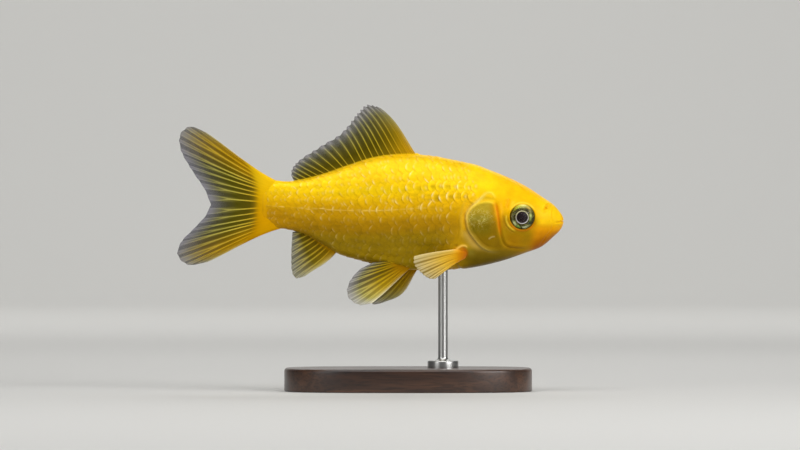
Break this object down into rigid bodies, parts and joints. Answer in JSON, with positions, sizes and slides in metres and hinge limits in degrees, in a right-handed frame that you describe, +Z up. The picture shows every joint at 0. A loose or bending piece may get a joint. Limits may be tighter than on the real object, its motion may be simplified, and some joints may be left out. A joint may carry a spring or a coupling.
{
  "type": "goldfish",
  "caption": "Life-size still model of a swimming yellow common goldfish with a forked tail and spread fins, held by a rod over a flat oval base.",
  "frame": {"origin": "centre of the underside of the stand's base, on the floor", "axes": "+X from tail to snout, level; +Z up; the fish's left side faces +Y and its right side -Y"},
  "size_m": [0.0999, 0.04, 0.0741],
  "materials": {
    "skin": "canary yellow scaled skin, darker olive gold low on the flank, wet gloss",
    "gill_cover": "olive gold skin over bone with pale silvery veins, wet gloss",
    "fin": "thin see-through skin between bright yellow rays, pale at the margin",
    "eye": "clear wet cornea over a dark green-black iris with a pale ring and a round dark pupil",
    "stand_wood": "dark walnut, satin varnish",
    "stand_steel": "fine brushed"
  },
  "bodies": {
    "root": {"head": "skin", "lower_jaw": "skin", "trunk": "skin", "tail_stalk": "skin", "gill_cover_right": "gill_cover", "gill_cover_left": "gill_cover", "eye_right": "eye", "eye_left": "eye", "dorsal_fin": "fin", "anal_fin": "fin", "tail_fin_upper": "fin", "tail_fin_lower": "fin", "pelvic_fin_right": "fin", "pelvic_fin_left": "fin", "pectoral_fin_right": "fin", "pectoral_fin_left": "fin", "stand_base": "stand_wood", "stand_rod": "stand_steel"}
  },
  "joints": []
}
